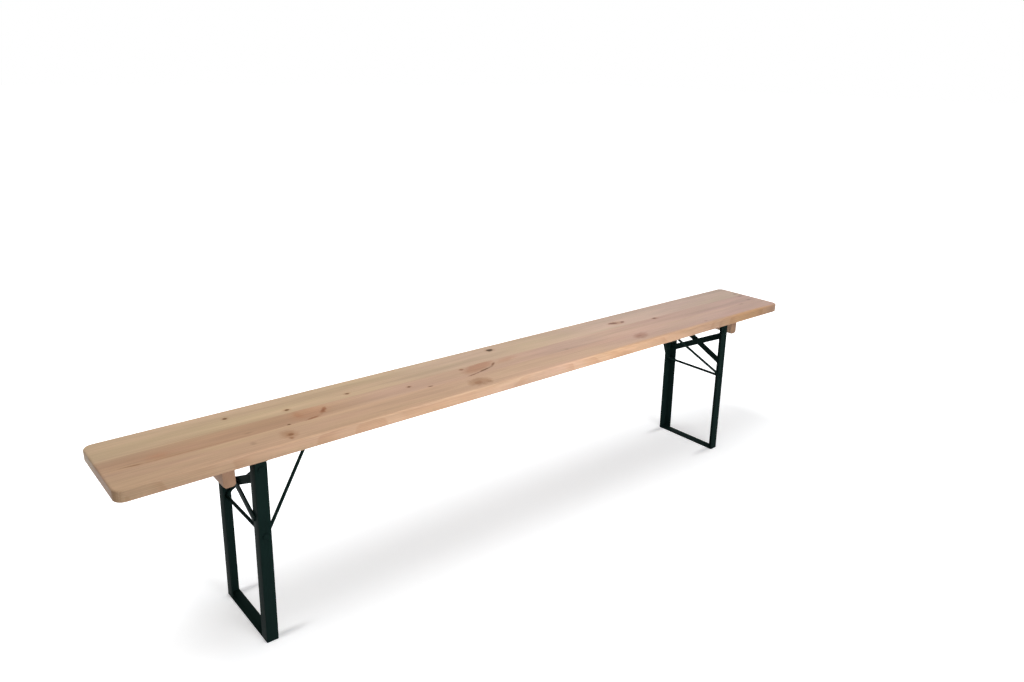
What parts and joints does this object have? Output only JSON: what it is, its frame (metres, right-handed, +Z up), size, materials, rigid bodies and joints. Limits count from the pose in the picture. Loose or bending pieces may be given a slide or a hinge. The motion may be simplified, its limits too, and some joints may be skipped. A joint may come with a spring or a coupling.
{
  "type": "folding beer bench",
  "caption": "Folding bench with an edge-glued wooden seat board on two hinged steel leg frames, each locked upright by a swinging V-shaped strut.",
  "frame": {"origin": "on the floor under the middle of the seat", "axes": "+X along the seat, +Y across it to the back, +Z up"},
  "size_m": [2.2, 0.25, 0.485],
  "materials": {
    "light_wood": "satin clear lacquer",
    "batten_wood": "planed, thin clear coat",
    "dark_green_paint": "semi-gloss paint",
    "zinc_plated_steel": "bright zinc plate"
  },
  "bodies": {
    "seat": {"stave_front": "light_wood", "stave_middle": "light_wood", "stave_back": "light_wood", "batten_left": "batten_wood", "batten_right": "batten_wood", "batten_screw_left_1": "zinc_plated_steel", "batten_screw_left_2": "zinc_plated_steel", "batten_screw_left_3": "zinc_plated_steel", "batten_screw_right_1": "zinc_plated_steel", "batten_screw_right_2": "zinc_plated_steel", "batten_screw_right_3": "zinc_plated_steel", "hinge_bracket_left_front": "dark_green_paint", "hinge_bracket_left_back": "dark_green_paint", "hinge_bracket_right_front": "dark_green_paint", "hinge_bracket_right_back": "dark_green_paint", "bracket_screw_left_front_1": "zinc_plated_steel", "bracket_screw_left_front_2": "zinc_plated_steel", "bracket_screw_left_back_1": "zinc_plated_steel", "bracket_screw_left_back_2": "zinc_plated_steel", "bracket_screw_right_front_1": "zinc_plated_steel", "bracket_screw_right_front_2": "zinc_plated_steel", "bracket_screw_right_back_1": "zinc_plated_steel", "bracket_screw_right_back_2": "zinc_plated_steel", "hinge_rivet_left_front": "dark_green_paint", "hinge_rivet_left_back": "dark_green_paint", "hinge_rivet_right_front": "dark_green_paint", "hinge_rivet_right_back": "dark_green_paint", "catch_hook_left": "dark_green_paint", "catch_hook_right": "dark_green_paint", "catch_screw_left_1": "zinc_plated_steel", "catch_screw_left_2": "zinc_plated_steel", "catch_screw_right_1": "zinc_plated_steel", "catch_screw_right_2": "zinc_plated_steel", "catch_spring_left": "zinc_plated_steel", "catch_spring_right": "zinc_plated_steel", "spring_screw_left": "zinc_plated_steel", "spring_screw_right": "zinc_plated_steel"},
    "leg_frame_left": {"leg_left_front": "dark_green_paint", "leg_left_back": "dark_green_paint", "foot_bar_left": "dark_green_paint", "brace_inner_left": "dark_green_paint", "brace_outer_left": "dark_green_paint"},
    "leg_frame_right": {"leg_right_front": "dark_green_paint", "leg_right_back": "dark_green_paint", "foot_bar_right": "dark_green_paint", "brace_inner_right": "dark_green_paint", "brace_outer_right": "dark_green_paint"},
    "strut_left": {"strut_axle_left": "dark_green_paint", "strut_arm_left": "dark_green_paint", "axle_cap_left_front": "dark_green_paint", "axle_cap_left_back": "dark_green_paint"},
    "strut_right": {"strut_axle_right": "dark_green_paint", "strut_arm_right": "dark_green_paint", "axle_cap_right_front": "dark_green_paint", "axle_cap_right_back": "dark_green_paint"}
  },
  "joints": [
    {"name": "fold_left", "type": "hinge", "parent": "seat", "child": "leg_frame_left", "pos_m": [-0.809, 0, 0.437], "axis": [0, -1, 0], "range_deg": [0, 91]},
    {"name": "strut_swing_left", "type": "hinge", "parent": "leg_frame_left", "child": "strut_left", "pos_m": [-0.81185, 0, 0.27403], "axis": [0, -1, 0], "range_deg": [-135.8, 0]},
    {"name": "fold_right", "type": "hinge", "parent": "seat", "child": "leg_frame_right", "pos_m": [0.809, 0, 0.437], "axis": [0, 1, 0], "range_deg": [0, 91]},
    {"name": "strut_swing_right", "type": "hinge", "parent": "leg_frame_right", "child": "strut_right", "pos_m": [0.81185, 0, 0.27403], "axis": [0, 1, 0], "range_deg": [-135.8, 0]}
  ],
  "couplings": [
    {"joint": "strut_swing_left", "follows": "fold_left", "ratio": -1.4922},
    {"joint": "strut_swing_right", "follows": "fold_right", "ratio": -1.4922}
  ]
}
